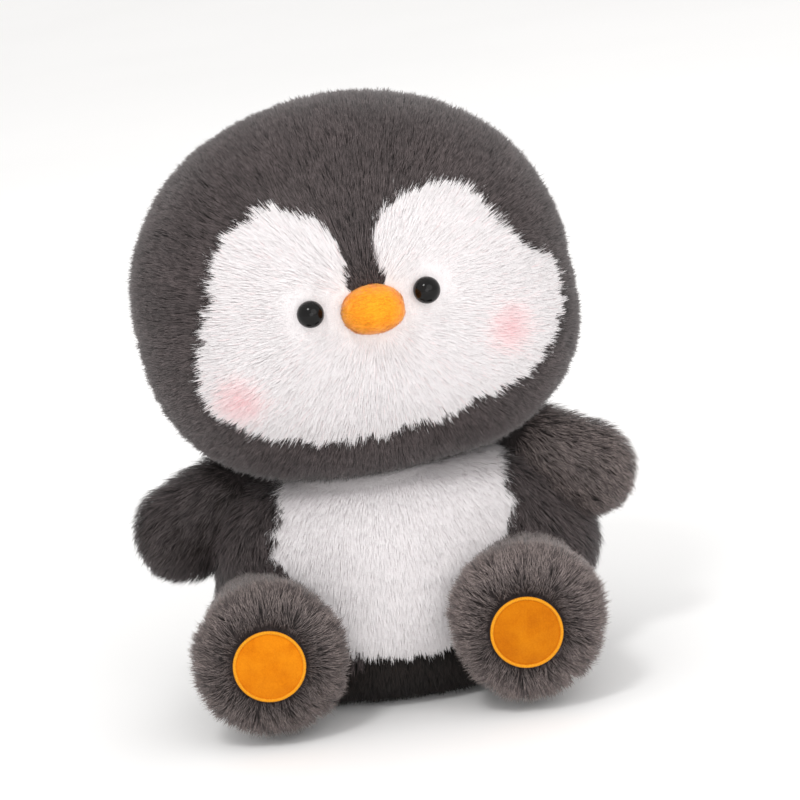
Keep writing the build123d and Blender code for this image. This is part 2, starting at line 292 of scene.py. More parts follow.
class Nodes:
    """Short names for the nodes of one material."""

    def __init__(self, name, rough=0.8, spec=0.25, sheen=0.0):
        self.m = bpy.data.materials.new(name); self.m.use_nodes = True
        self.t = self.m.node_tree
        self.b = self.t.nodes["Principled BSDF"]
        self.b.inputs["Roughness"].default_value = rough
        self.b.inputs["Specular IOR Level"].default_value = spec
        self.b.inputs["Sheen Weight"].default_value = sheen
        self.b.inputs["Sheen Roughness"].default_value = 0.5
        self.co = self.t.nodes.new("ShaderNodeTexCoord").outputs["Object"]

    def link(self, a, b):
        self.t.links.new(a, b)

    def mapping(self, scale=(1, 1, 1), rotation=(0, 0, 0), loc=(0, 0, 0)):
        n = self.t.nodes.new("ShaderNodeMapping")
        n.inputs["Scale"].default_value = scale
        n.inputs["Rotation"].default_value = rotation
        n.inputs["Location"].default_value = loc
        self.link(self.co, n.inputs["Vector"])
        return n.outputs["Vector"]

    def noise(self, vec, scale, detail=3.0, rough=0.6, distort=0.0):
        n = self.t.nodes.new("ShaderNodeTexNoise")
        n.inputs["Scale"].default_value = scale
        n.inputs["Detail"].default_value = detail
        n.inputs["Roughness"].default_value = rough
        n.inputs["Distortion"].default_value = distort
        self.link(vec, n.inputs["Vector"])
        return n.outputs["Fac"]

    def ramp(self, fac, stops):
        n = self.t.nodes.new("ShaderNodeValToRGB")
        el = n.color_ramp.elements
        while len(el) < len(stops):
            el.new(0.5)
        for e, (p, c) in zip(el, stops):
            e.position, e.color = p, c
        self.link(fac, n.inputs["Fac"])
        return n.outputs["Color"]

    def mix(self, fac, a, b, kind="MIX"):
        n = self.t.nodes.new("ShaderNodeMix"); n.data_type = "RGBA"; n.blend_type = kind
        for value, i in ((fac, 0), (a, 6), (b, 7)):
            if hasattr(value, "is_linked") or hasattr(value, "links"):
                self.link(value, n.inputs[i])
            else:
                n.inputs[i].default_value = value
        return n.outputs[2]

    def math(self, op, a, b=0.0):
        n = self.t.nodes.new("ShaderNodeMath"); n.operation = op
        for value, i in ((a, 0), (b, 1)):
            if hasattr(value, "links"):
                self.link(value, n.inputs[i])
            else:
                n.inputs[i].default_value = value
        return n.outputs[0]

    def near(self, point, radius):
        """1 at a point, falling to 0 at the radius, in metres."""
        d = self.t.nodes.new("ShaderNodeVectorMath"); d.operation = "DISTANCE"
        self.link(self.co, d.inputs[0]); d.inputs[1].default_value = point
        n = self.t.nodes.new("ShaderNodeMapRange"); n.interpolation_type = "SMOOTHSTEP"
        self.link(d.outputs["Value"], n.inputs["Value"])
        n.inputs["From Min"].default_value = radius; n.inputs["From Max"].default_value = 0.0
        return n.outputs["Result"]

    def colour(self, c):
        self.link(c, self.b.inputs["Base Color"])

    def bump(self, height, distance, strength=0.6):
        n = self.t.nodes.new("ShaderNodeBump")
        n.inputs["Distance"].default_value = distance
        n.inputs["Strength"].default_value = strength
        self.link(height, n.inputs["Height"])
        self.link(n.outputs["Normal"], self.b.inputs["Normal"])


def head_point(x, y, z):
    return tuple((HEAD + HEAD_R @ np.array([x, y, z])) * MM)


def fur_skin(name, dark, mid_c, light, blush=False):
    """Backing cloth seen between the fibres: fine streaks and slow patches of tone."""
    k = Nodes(name, rough=0.9, spec=0.1, sheen=0.15)
    fine = k.noise(k.mapping((1, 1, 0.35)), 900, 4, 0.7)
    slow = k.noise(k.mapping((1, 1, 1)), 55, 2, 0.5)
    c = k.ramp(k.math("ADD", k.math("MULTIPLY", fine, 0.7), k.math("MULTIPLY", slow, 0.3)),
               [(0.3, dark), (0.5, mid_c), (0.72, light)])
    if blush:
        pink = k.math("MAXIMUM", *[k.near(head_point(x, -54, z), 0.014) for x, z in BLUSH])
        c = k.mix(k.math("MULTIPLY", pink, 0.4), c, srgb(246, 196, 198))
    k.colour(c)
    k.bump(fine, 0.0006, 0.7)
    return k.m


SKIN_DARK = fur_skin("pile_dark_ground", srgb(30, 26, 26), srgb(50, 44, 44), srgb(74, 67, 67))
SKIN_WHITE = fur_skin("pile_white_ground", srgb(220, 215, 216), srgb(229, 224, 225), srgb(236, 232, 233))
SKIN_FACE = fur_skin("pile_face_ground", srgb(220, 215, 216), srgb(229, 224, 225), srgb(236, 232, 233), blush=True)


def tone(rgb, k):
    return srgb(*[min(255, v * k) for v in rgb])


# slots of the fibres: root, middle and tip of each shade
DARK_SHADES = [[plain(f"fibre_dark_{i}_{part}", tone(c, k), 0.62, 0.25, 0.3)
                for part, c in (("root", (38, 32, 32)), ("mid", (66, 58, 58)), ("tip", (88, 79, 79)))]
               for i, k in enumerate((0.84, 0.94, 1.04, 1.14))]
LIMB_SHADES = [[plain(f"fibre_limb_{i}_{part}", tone(c, k), 0.62, 0.25, 0.3)
                for part, c in (("root", (44, 38, 37)), ("mid", (82, 73, 72)), ("tip", (122, 111, 108)))]
               for i, k in enumerate((0.89, 0.97, 1.05, 1.14))]
ARM_TONES_RIGHT_PAINTED_DARK = {"left": LIMB_SHADES, "right": None}
# near-black fibres for the bottom and the front under the belly: painted shade
SEAT_PAINTED_SHADE_TONES = [[plain(f"fibre_seat_{i}_{part}", tone(c, k), 0.66, 0.15, 0.25)
                for part, c in (("root", (14, 11, 10)), ("mid", (26, 21, 19)), ("tip", (38, 32, 30)))]
               for i, k in enumerate((0.86, 0.95, 1.04, 1.14))]
# the right arm, on the side turned from the key light, takes darker tones of the same fur: painted shade
ARM_TONES_RIGHT_PAINTED_DARK["right"] = [SEAT_PAINTED_SHADE_TONES[3], DARK_SHADES[0], DARK_SHADES[0], DARK_SHADES[2]]
WHITE_SHADES = [[plain(f"fibre_white_{i}_{part}", tone(c, k), 0.7, 0.2, 0.2)
                 for part, c in (("root", (240, 235, 236)), ("mid", (244, 240, 241)), ("tip", (248, 245, 246)))]
                for i, k in enumerate((0.962, 0.97, 0.976, 0.984))]
PINK_SHADES = [[plain(f"fibre_blush_{i}_{part}", tuple(a + (b - a) * w for a, b in zip(srgb(246, 242, 242), srgb(*c))), 0.7, 0.2, 0.2)
                for part, c in (("root", (243, 184, 188)), ("mid", (246, 194, 198)), ("tip", (248, 206, 210)))]
               for i, w in enumerate((0.25, 0.5, 0.8))]
BEAK_SHADES = [[plain(f"fibre_beak_{i}_{part}", tone(c, k), 0.6, 0.2, 0.3)
                for part, c in (("root", (222, 118, 6)), ("mid", (242, 148, 12)), ("tip", (252, 172, 26)))]
               for i, k in enumerate((0.9, 0.98, 1.05, 1.12))]


# --------------------------------------------------------------- fast meshes
def mesh_object(name, v, groups, mats, smooth=True):
    """groups: [(faces, material index per face)], v in mm."""
    me = bpy.data.meshes.new(name)
    me.vertices.add(len(v))
    me.vertices.foreach_set("co", (np.asarray(v) * MM).astype(np.float32).ravel())
    loops = np.concatenate([g[0].ravel() for g in groups])
    size = np.concatenate([np.full(len(g[0]), g[0].shape[1]) for g in groups])
    start = np.concatenate([[0], np.cumsum(size)[:-1]])
    me.loops.add(len(loops))
    me.loops.foreach_set("vertex_index", loops.astype(np.int32))
    me.polygons.add(len(size))
    me.polygons.foreach_set("loop_start", start.astype(np.int32))
    for m in mats:
        me.materials.append(m)
    me.polygons.foreach_set("material_index", np.concatenate(
        [np.broadcast_to(g[1], len(g[0])) for g in groups]).astype(np.int32))
    me.polygons.foreach_set("use_smooth", np.full(len(size), smooth))
    me.update(calc_edges=True)
    me.validate()
    o = bpy.data.objects.new(name, me)
    bpy.context.scene.collection.objects.link(o)
    return o


def part_of(v, f, mask):
    """The faces in a mask, with only the points they use."""
    g = f[mask]
    used, inv = np.unique(g, return_inverse=True)
    return v[used], inv.reshape(g.shape)


def cell_noise(p, size, seed, n=1):
    """Random numbers that are the same for all points in one uneven cell."""
    w = p + 0.35 * size * np.sin(p[:, [1, 2, 0]] * (6.1 / size) + seed)
    c = np.floor(w / size).astype(np.int64)
    h = (c[:, 0] * 73856093) ^ (c[:, 1] * 19349663) ^ (c[:, 2] * 83492791) ^ (seed * 2654435761)
    out = []
    for i in range(n):
        h = (h ^ (h >> 13)) * 1274126177 & 0xFFFFFFFFFFFF
        h = h ^ (h >> 16)
        out.append(((h + i * 7919) % 100003) / 100003.0)
    return np.array(out)


def sample(v, f, n, density):
    a, b, c = v[f[:, 0]], v[f[:, 1]], v[f[:, 2]]
    area = np.linalg.norm(np.cross(b - a, c - a), axis=1) / 2
    count = int(area.sum() * density)
    t = rng.choice(len(f), count, p=area / area.sum())
    r, s = rng.random(count), rng.random(count)
    k = r + s > 1
    r[k], s[k] = 1 - r[k], 1 - s[k]
    w = np.stack([1 - r - s, r, s], 1)[:, :, None]
    p = (v[f[t]] * w).sum(1)
    q = (n[f[t]] * w).sum(1)
    return p, q / np.linalg.norm(q, axis=1)[:, None]


def unit(a):
    return a / np.maximum(np.linalg.norm(a, axis=1)[:, None], 1e-9)


MOST = 39000


def fibres(name, body, slot, p, n, comb, length, shades, pick, lean=(44, 70), width=0.33, wander=17, clump=3.4,
           floor=0.25, jitter=0.22, to_world=None, soft=0.75, rough=0.10):
    """Tapered, bent fibres on points p with normals n, lying along comb. pick: shade number per fibre."""
    if not len(p):
        return None
    if len(p) > MOST:                         # a large pile is shared between several pieces
        parts = math.ceil(len(p) / MOST)
        length = np.broadcast_to(length, len(p))
        for i in range(parts):
            k = slice(i, None, parts)
            fibres(f"{name}_{i + 1}", body, slot, p[k], n[k], comb[k], length[k], shades, np.asarray(pick)[k], lean,
                   width, wander, clump, floor, jitter, to_world, soft, rough)
        return None
    c = unit(comb - n * (comb * n).sum(1)[:, None])
    h = cell_noise(p, clump, 11, 3)
    ang = np.radians((h[0] - 0.5) * 2 * wander + rng.normal(0, wander * 0.33, len(p)))
    side = np.cross(n, c)
    c = c * np.cos(ang)[:, None] + side * np.sin(ang)[:, None]
    side = np.cross(n, c)
    L = np.broadcast_to(length, len(p)) * (1 + rng.normal(0, jitter * 0.5, len(p)) + (h[1] - 0.5) * jitter)
    a0 = np.radians(lean[0] + rng.normal(0, 7, len(p)) + (h[2] - 0.5) * 14)
    a1 = np.radians(np.minimum(lean[1] + rng.normal(0, 7, len(p)), 88))
    am = (a0 + a1) / 2
    rows, q = [], p - n * 0.4
    rows.append(q)
    for share, a in ((0.34, a0), (0.34, am), (0.32, a1)):
        q = q + (L * share)[:, None] * (n * np.cos(a)[:, None] + c * np.sin(a)[:, None])
        rows.append(q)
    roll = np.clip(rng.normal(0, 0.4, len(p)), -1.0, 1.0)
    flat = side * np.cos(roll)[:, None] + n * np.sin(roll)[:, None]
    w = width * (0.8 + 0.4 * rng.random(len(p)))
    pts = []
    for r, k in zip(rows[:3], (0.5, 0.46, 0.33)):
        pts += [r - flat * (w * k)[:, None], r + flat * (w * k)[:, None]]
    pts.append(rows[3])
    v = np.stack(pts, 1)                      # fibre, 7 points, xyz
    if to_world is not None:
        v = to_world(v.reshape(-1, 3)).reshape(v.shape)
    if floor is not None:
        v[:, :, 2] = np.maximum(v[:, :, 2], floor + 0.02 * rng.random(v.shape[:2]))
    base = np.arange(len(p))[:, None] * 7
    quads = np.concatenate([base + np.array([0, 2, 3, 1]), base + np.array([2, 4, 5, 3])])
    tris = base + np.array([4, 6, 5])
    pick = np.asarray(pick, int)
    qm = np.concatenate([pick * 3, pick * 3 + 1])
    tm = pick * 3 + 2
    flatmats = [m for s in shades for m in s]
    o = mesh_object(name, v.reshape(-1, 3), [(quads, qm), (tris, tm)], flatmats)
    # soft pile scatters light like its skin: shading normals lean strongly to the skin's normal
    own = np.cross(c * 1.0, flat)
    own = own * np.sign((own * n).sum(1))[:, None]
    lit = unit(n * soft + own * (1 - soft) + rng.normal(0, rough, p.shape))
    if to_world is not None:
        lit = unit(to_world(lit) - to_world(np.zeros((1, 3))))
    a = o.data.attributes.new("custom_normal", "FLOAT_VECTOR", "POINT")
    a.data.foreach_set("vector", np.repeat(lit, 7, 0).astype(np.float32).ravel())
    o.data.update()
    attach(o, body)
    return o


def pick_shade(p, count, seed, patch=9.0):
    """A shade for each fibre: slow patches, clumps and single odd fibres."""
    slow = swell(p, 0.35, patch * 3, seed)
    h = cell_noise(p, 3.2, seed + 3)[0]
    x = 0.5 + 0.3 * slow + 0.5 * (h - 0.5) + rng.normal(0, 0.17, len(p))
    return np.clip((x * count).astype(int), 0, count - 1)


def skin_piece(name, v, f, material, body, nodes):
    o = mesh_object(name, v, [(f, 0)], [material])
    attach(o, body)
    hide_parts(*nodes)
    return o


# --------------------------------------------------------------------- head
def to_head(v):
    return HEAD + v @ HEAD_R.T


hv, hf = skin_of(head_shape, (0, 0, 0), 7)
hv = relax(hv, hf, 0.5, 2)
hn = normals_of(hv, hf)
hv = hv + hn * swell(hv, 0.35, 46, 5)[:, None]
hn = normals_of(hv, hf)
BEAK_AT = np.array([0.9, -69.5, 1.2])


def head_region(p):
    """0 crown, 1/2 face left/right, 3/4 chin left/right, 5/6 back left/right."""
    x, y, z = p.T
    wob = swell(p, 0.55, 7.0, 21)
    s = 1 + wob / np.maximum(np.hypot(x, z), 1)
    face = inside(FACE, x * s, z * s) & (y < -4)
    left = x >= 0
    r = np.where(y >= 0, np.where(left, 5, 6), np.where(z > -16, 0, np.where(left, 3, 4)))
    return np.where(face, np.where(left, 1, 2), r)


def head_comb(p, n):
    """Fur radiates from the beak, and lies down the back of the head."""
    out = p - BEAK_AT
    x, y, z = p.T
    down = np.tile([0.0, 0.0, -1.0], (len(p), 1))
    k = np.clip((y + 5) / 45, 0, 1)[:, None]
    return unit(out) * (1 - k) + down * k * 1.2 + np.array([0, 0.3, 0]) * (1 - k)


NAMES = ["crown_panel", "face_panel_left", "face_panel_right", "chin_panel_left", "chin_panel_right",
         "head_back_panel_left", "head_back_panel_right"]
hm = hv[hf].mean(1)
region = head_region(hm + unit(hm - BEAK_AT) * 3.5 * (hm[:, 1:2] < 0))
# no fur inside the neck's hollow
q = to_head(hv[hf].mean(1)) - NECK
hollow = np.sqrt((q ** 2).sum(1)) < 41.9
for i, name in enumerate(NAMES):
    face = i in (1, 2)
    mask = region == i
    v, f = part_of(hv, hf, mask)
    extra = ["head_stuffing"] if i == 0 else []
    skin_piece(name + "_cloth", to_head(v), f, SKIN_FACE if face else SKIN_DARK, "head",
               [name] + extra)
p, n = sample(hv, hf[~hollow], hn, 5.6)
pale = inside(FACE, p[:, 0], p[:, 2]) & (p[:, 1] < -4)
some = pale | (rng.random(len(p)) < 3.2 / 5.6)
p, n = p[some], n[some]
# clear of the beak and the eyes
eye_local = {s: (mid(f"eye_{s}") - HEAD) @ HEAD_R for s in ("left", "right")}
keep = (((p[:, 0] - 0.9) / 10.8) ** 2 + ((p[:, 2] - 1.0) / 7.9) ** 2 > 1) | (p[:, 1] > 0)
for s in eye_local:
    e = eye_local[s]
    keep &= (np.hypot(p[:, 0] - e[0], p[:, 2] - e[2]) > 4.7) | (p[:, 1] > 0)
p, n = p[keep], n[keep]
tuft = cell_noise(p, 3.0, 31, 2)
to_eye = np.min([np.hypot(p[:, 0] - e[0], p[:, 2] - e[2]) for e in eye_local.values()], axis=0)
to_beak = np.hypot(p[:, 0] / 1.2, p[:, 2] - 1.0)
front = p[:, 1] < -20
short = np.where(front, np.clip((to_eye - 3.2) / 9, 0.28, 1) * np.clip((to_beak - 6.5) / 9, 0.35, 1), 1)
hc = head_comb(p, n)
hc = unit(hc - n * (hc * n).sum(1)[:, None])
brow = 0.45 + 0.55 * np.clip(np.hypot(p[:, 0] / 14, (p[:, 2] - 22) / 26) - 0.2, 0, 1)
r = head_region(p + hc * (4.9 * short * (p[:, 1] < 0))[:, None]
                + np.stack([(tuft[0] - 0.5) * 2.3, np.zeros(len(p)), (tuft[1] - 0.5) * 2.3], 1) * (short * brow)[:, None]
                + rng.normal(0, 0.3, p.shape))
edge = np.zeros(len(p))                   # 1 near the rim of the pale face, where its fibres are longest
for x0, z0 in FACE[::6]:
    edge = np.maximum(edge, np.exp(-((p[:, 0] - x0) ** 2 + (p[:, 2] - z0) ** 2) / 90.0))
for i, name in enumerate(NAMES):
    k = r == i
    face = i in (1, 2)
    P, Nn = p[k], n[k]
    if face:
        shade = pick_shade(P, 4, 40 + i)
        d = np.min([np.hypot(P[:, 0] - x, P[:, 2] - z) for x, z in BLUSH], axis=0)
        b = np.exp(-(d / 7.8) ** 2) * 0.72 + rng.normal(0, 0.1, len(P))
        shade = np.where(b > 0.16, 4 + np.clip((b * 3).astype(int), 0, 2), shade)
        shades = WHITE_SHADES + PINK_SHADES
        L = (4.6 + 1.8 * edge[k]) * short[k]
        lean = (68, 85)
    else:
        shade = pick_shade(P, 4, 40 + i)
        shades = DARK_SHADES
        L = 6.6 * short[k]
        lean = (50, 77)
    if face:
        fibres(name + "_pile", "head", "fur_white", P, Nn, head_comb(P, Nn), L, shades, shade, lean=lean, width=0.23,
               wander=8, clump=4.6, jitter=0.16, to_world=to_head, soft=0.96, rough=0.025)
    else:
        fibres(name + "_pile", "head", "fur_dark", P, Nn, head_comb(P, Nn), L, shades, shade, lean=lean, width=0.26,
               wander=13, clump=3.8, jitter=0.2, to_world=to_head, soft=0.82, rough=0.07)

# --------------------------------------------------------------------- beak
bv, bf = skin_of(beak_shape, (0, 0, 0), 5, 30)
bv = bv + BEAK_AT + np.array([0, 1.0, 0])
bn = normals_of(bv, bf)
k = Nodes("beak_plush_ground", rough=0.85, spec=0.2, sheen=0.3)
streak = k.noise(k.mapping((0.25, 1, 1)), 1500, 3, 0.65)
slow = k.noise(k.mapping(), 160, 2)
k.colour(k.ramp(k.math("ADD", k.math("MULTIPLY", streak, 0.6), k.math("MULTIPLY", slow, 0.4)),
                [(0.32, srgb(224, 118, 6)), (0.5, srgb(242, 146, 12)), (0.7, srgb(253, 176, 30))]))
k.bump(streak, 0.0003, 0.6)
skin_piece("beak_plush", to_head(bv), bf, k.m, "head", ["beak_cover", "beak_stuffing"])
P, Nn = sample(bv, bf, bn, 9.0)
kk = P[:, 1] < -64
P, Nn = P[kk], Nn[kk]
side = np.stack([np.full(len(P), -1.0), np.full(len(P), 0.1), 0.12 * np.sin(P[:, 2] * 0.7)], 1)
# painted light: the beak's fibres get lighter tones towards the top and towards +x, the side the key light falls on
lit = 0.5 + 0.05 * P[:, 0] + 0.05 * (P[:, 2] - 1.0) + rng.normal(0, 0.16, len(P))
fibres("beak_pile", "head", "felt_orange", P, Nn, side, 2.0, BEAK_SHADES, np.clip((lit * 4).astype(int), 0, 3),
       lean=(74, 86), width=0.2, wander=9, clump=1.6, jitter=0.3, to_world=to_head, soft=0.92, rough=0.04)

# --------------------------------------------------------------------- eyes
eye_black = Nodes("eye_black_moulded", rough=0.06, spec=0.22)
sp = eye_black.noise(eye_black.mapping(), 700, 2)
eye_black.colour(eye_black.ramp(sp, [(0.3, (0.003, 0.003, 0.003, 1)), (0.8, (0.007, 0.006, 0.006, 1))]))
eye_black.link(eye_black.ramp(eye_black.noise(eye_black.mapping(), 90, 4), [(0.3, (0.08,) * 3 + (1,)), (0.75, (0.16,) * 3 + (1,))]),
               eye_black.b.inputs["Roughness"])


def turned(profile, steps, origin, axis):
    """A turned shape: profile of (radius, height along the axis)."""
    axis = axis / np.linalg.norm(axis)
    x = np.cross(axis, [0, 0, 1.0]); x /= np.linalg.norm(x)
    y = np.cross(axis, x)
    v, f = [], []
    for rr, hh in profile:
        for i in range(steps):
            t = 2 * math.pi * i / steps
            v.append(origin + axis * hh + (x * math.cos(t) + y * math.sin(t)) * rr)
    m = len(profile)
    for j in range(m - 1):
        for i in range(steps):
            a, b = j * steps + i, j * steps + (i + 1) % steps
            f.append([a, b, b + steps, a + steps])
    return np.array(v), np.array(f)[:, ::-1]


for s in ("left", "right"):
    e = eye_local[s]
    x, z = SIGN[s] * 21.6, 3.6
    y = -70.0 * math.sqrt(1 - (x / 84.5) ** 2 - (z / 72.0) ** 2)
    nrm = np.array([x / 84.5 ** 2, y / 70.0 ** 2, z / 72.0 ** 2]); nrm /= np.linalg.norm(nrm)
    at = np.array([x, y, z]) - nrm * 1.2
    dome = [(0.001, -6.0), (1.6, -6.0), (1.6, -1.8), (4.3, -1.9), (4.75, -1.5), (4.9, -0.9), (4.93, -0.3)]
    for a in np.linspace(2, 88, 26):
        dome.append((4.92 * math.cos(math.radians(a)), -0.1 + 4.5 * math.sin(math.radians(a))))
    dome.append((0.001, 4.4))
    v, f = turned(dome, 64, at, nrm)
    o = mesh_object(f"eye_dome_{s}", to_head(v), [(f, 0)], [eye_black.m])
    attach(o, "head"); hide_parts(f"eye_{s}")

# -------------------------------------------------------------------- torso
tv, tf = skin_of(torso_shape, (0, 10, 42), 7)
tv = relax(tv, tf, 0.5, 6)
tv[:, 2] = np.maximum(tv[:, 2], 0.6)
tn = normals_of(tv, tf)
lump = swell(tv, 0.6, 44, 8) * np.clip((tv[:, 2] - 4) / 10, 0, 1)
tv = tv + tn * lump[:, None]
tn = normals_of(tv, tf)


def torso_region(p):
    """0 belly, 1 bottom panel with a patch low in front under the belly, whose fibres are painted near-black as shade,
    2/3 back left/right.
    """
    x, y, z = p.T
    w = swell(p, 0.6, 8.0, 23)
    belly = inside(BELLY, x + w, z + w * 0.5) & (y < 4)
    # the bottom panel, plus a patch low in front under the belly where the fibres carry painted shade
    seat_and_belly_shade = (z < 11) | ((np.abs(x) < 42) & (y < -22) & (z < 19))
    return np.where(belly, 0, np.where(seat_and_belly_shade, 1, np.where(x >= 0, 2, 3)))


TN = ["belly_panel", "seat_panel", "back_panel_left", "back_panel_right"]
region = torso_region(tv[tf].mean(1))
for i, name in enumerate(TN):
    v, f = part_of(tv, tf, region == i)
    extra = ["torso_stuffing"] if i == 2 else []
    skin_piece(name + "_cloth", v, f, SKIN_WHITE if i == 0 else SKIN_DARK, "torso",
               [name] + extra)
p, n = sample(tv, tf, tn, 5.6)
pale = inside(BELLY, p[:, 0], p[:, 2]) & (p[:, 1] < 4)
some = pale | (rng.random(len(p)) < 2.8 / 5.6)
p, n = p[some], n[some]
# none underneath, in the neck, or behind the limbs
q = np.sqrt(((p - NECK) ** 2).sum(1))
keep = (p[:, 2] > 1.6) & ~((q < 43.5) & (p[:, 2] > 76))
for s in ("left", "right"):
    keep &= np.sqrt(((p - HIP[s]) ** 2).sum(1)) > 25
    keep &= np.sqrt(((p - SHOULDER[s]) ** 2).sum(1)) > 12
p, n = p[keep], n[keep]
tuft = cell_noise(p, 3.0, 33, 2)
r = torso_region(p + np.array([0, 0, -4.6]) + np.stack([(tuft[0] - 0.5) * 3.6, np.zeros(len(p)), (tuft[1] - 0.5) * 3.6], 1))
for i, name in enumerate(TN):
    k = r == i
    P, Nn = p[k], n[k]
    down = np.tile([0.0, 0.0, -1.0], (len(P), 1)) + np.stack([P[:, 0] / 90, (P[:, 1] - 10) / 160, np.zeros(len(P))], 1)
    white = i == 0
    if not white:
        down = down + np.stack([np.sign(P[:, 0]) * np.clip((-P[:, 1]) / 30, 0, 1) * -0.9, np.zeros(len(P)), np.zeros(len(P))], 1) * (P[:, 2] > 30)[:, None]
    if white:
        fibres(name + "_pile", "torso", "fur_white", P, Nn, down, 5.2, WHITE_SHADES, pick_shade(P, 4, 60 + i),
               lean=(67, 85), width=0.22, wander=5, clump=5.0, jitter=0.14, soft=0.97, rough=0.02)
    else:
        # region 1's fibres take the near-black tones: painted shade under the belly and along the floor
        fibres(name + "_pile", "torso", "fur_dark", P, Nn, down, 7.4, SEAT_PAINTED_SHADE_TONES if i == 1 else DARK_SHADES,
               pick_shade(P, 4, 60 + i), lean=(50, 76), width=0.28, wander=15, soft=0.8, rough=0.08)

# --------------------------------------------------------------------- arms
av, af = skin_of(arm_shape, (10, 0, 0), 6, 60)
av = relax(av, af, 0.5, 4)
an = normals_of(av, af)
for s in ("left", "right"):
    turn = ARM_DROP[s] if s == "left" else 180 - ARM_DROP[s]
    R = rot("Y", turn)
    world = lambda v, R=R, s=s: SHOULDER[s] + ARM_SHIFT[s] + v @ R.T
    V = av + an * swell(av + SIGN[s] * 40, 0.45, 26, 9)[:, None]
    VN = normals_of(V, af)
    front = V[af].mean(1)[:, 1] < 0
    for name, m in ((f"arm_{s}_front_panel", front), (f"arm_{s}_back_panel", ~front)):
        v, f = part_of(V, af, m)
        extra = [f"arm_{s}_stuffing"] if "front" in name else []
        skin_piece(name + "_cloth", world(v), f, SKIN_DARK, f"arm_{s}", [name] + extra)
        P, Nn = sample(V, af[m], VN, 3.0)
        kk = P[:, 0] > -9
        P, Nn = P[kk], Nn[kk]
        out = np.tile([1.0, 0, 0], (len(P), 1))
        out = out + np.stack([np.zeros(len(P)), np.zeros(len(P)), np.full(len(P), -0.35 if s == "left" else 0.35)], 1)
        fibres(name + "_pile", f"arm_{s}", "fur_dark", P, Nn, out, 7.6, ARM_TONES_RIGHT_PAINTED_DARK[s], pick_shade(P, 4, 80), wander=20,
               lean=(46, 74), width=0.28, to_world=world, soft=0.78, rough=0.08)

# --------------------------------------------------------------------- legs
lv, lf = skin_of(leg_shape, (0, -18, 0), 6, 90)
lv = relax(lv, lf, 0.5, 3)
for s in ("left", "right"):
    V = lv * np.array([LEG_SIZE[s], 1, LEG_SIZE[s]])
    VN = normals_of(V, lf)
    V = V + VN * (swell(V + SIGN[s] * 70, 0.5, 34, 12) * np.clip((V[:, 1] + LEG_D - 5) / 6, 0, 1))[:, None]
    # the cloth draws in towards the pad's stitched edge
    hh = np.hypot(V[:, 0] - PAD_SHIFT[s][0], V[:, 2] - PAD_SHIFT[s][2])
    dip = np.where(V[:, 1] < -LEG_D + 12, 1.6 * np.exp(-((hh - 12.6) / 3.2) ** 2), 0)
    V[:, 1] += dip
    VN = normals_of(V, lf)
    world = lambda v, s=s: HIP[s] + LEG_SHIFT[s] + v
    cy = V[lf].mean(1)[:, 1]
    front = cy < -(LEG_D - 12.0)
    for name, m in ((f"leg_{s}_tube_panel", ~front), (f"leg_{s}_sole_panel", front)):
        v, f = part_of(V, lf, m)
        extra = [f"leg_{s}_stuffing"] if "tube" in name else []
        skin_piece(name + "_cloth", world(v), f, SKIN_DARK, f"leg_{s}", [name] + extra)
        P, Nn = sample(V, lf[m], VN, 3.4)
        hh = np.hypot(P[:, 0] - PAD_SHIFT[s][0], P[:, 2] - PAD_SHIFT[s][2])
        sole = P[:, 1] < -(LEG_D - 5.5)
        kk = (P[:, 1] < 8) & ~(sole & (hh < 12.9))
        P, Nn, hh, sole_p = P[kk], Nn[kk], hh[kk], sole[kk]
        radial = np.stack([P[:, 0], np.zeros(len(P)), P[:, 2]], 1) / np.maximum(hh, 1)[:, None]
        onsole = np.clip((-P[:, 1] - (LEG_D - 16)) / 10, 0, 1)[:, None]
        comb = radial * onsole + np.array([0, 1.0, 0]) * (1 - onsole) + np.array([0, 0, -0.25]) * (1 - onsole)
        L = 6.9 * np.clip((hh - 11.2) / 5.0, 0.45, 1) if "sole" in name else 7.0
        # the left leg's fibres are one tone lighter than the right's: painted light on the side the key light falls on
        fibres(name + "_pile", f"leg_{s}", "fur_dark", P, Nn, comb, L, LIMB_SHADES,
               # sole fibres close round the pad are up to two tones darker: painted shade round the pad's recess
               np.clip(pick_shade(P, 4, 90 + len(name)) + (s == "left") - (sole_p & (hh < 18.0)) - (sole_p & (hh < 15.6)), 0, 3),
               lean=(46, 75) if "sole" in name else (52, 77), wander=27, clump=5.2, width=0.24, to_world=world, soft=0.78, rough=0.08)

# ---------------------------------------------------------------- sole pads
FELT_SIDE_SHADED = {}
# one felt in two copies: the left pad's is painted 7% darker, as painted shade from how that pad turns to the light
for s, k in (("left", 0.93), ("right", 1.0)):
    felt = Nodes(f"felt_orange_pad_shade_toned_{s}", rough=0.92, spec=0.05, sheen=0.08)
    f1 = felt.noise(felt.mapping((1, 1, 1)), 1500, 5, 0.75)
    f2 = felt.noise(felt.mapping((1, 1, 1)), 110, 3, 0.5, 0.4)
    fh = felt.noise(felt.mapping((1, 1, 0.3), (0, 0.7, 0)), 2600, 3, 0.7)
    felt.colour(felt.ramp(felt.math("ADD", felt.math("MULTIPLY", f1, 0.45), felt.math("MULTIPLY", f2, 0.55)),
                          [(0.3, tone((190, 100, 4), k)), (0.48, tone((208, 118, 8), k)), (0.66, tone((221, 133, 15), k))]))
    felt.bump(felt.math("ADD", f1, fh), 0.00025, 0.6)
    FELT_SIDE_SHADED[s] = felt
satin = Nodes("satin_stitch_orange", rough=0.5, spec=0.2, sheen=0.05)
g1 = satin.noise(satin.mapping(), 1800, 3, 0.6)
satin.colour(satin.ramp(g1, [(0.3, srgb(206, 128, 6)), (0.5, srgb(222, 146, 10)), (0.72, srgb(236, 164, 18))]))
satin.bump(g1, 0.00015, 0.5)
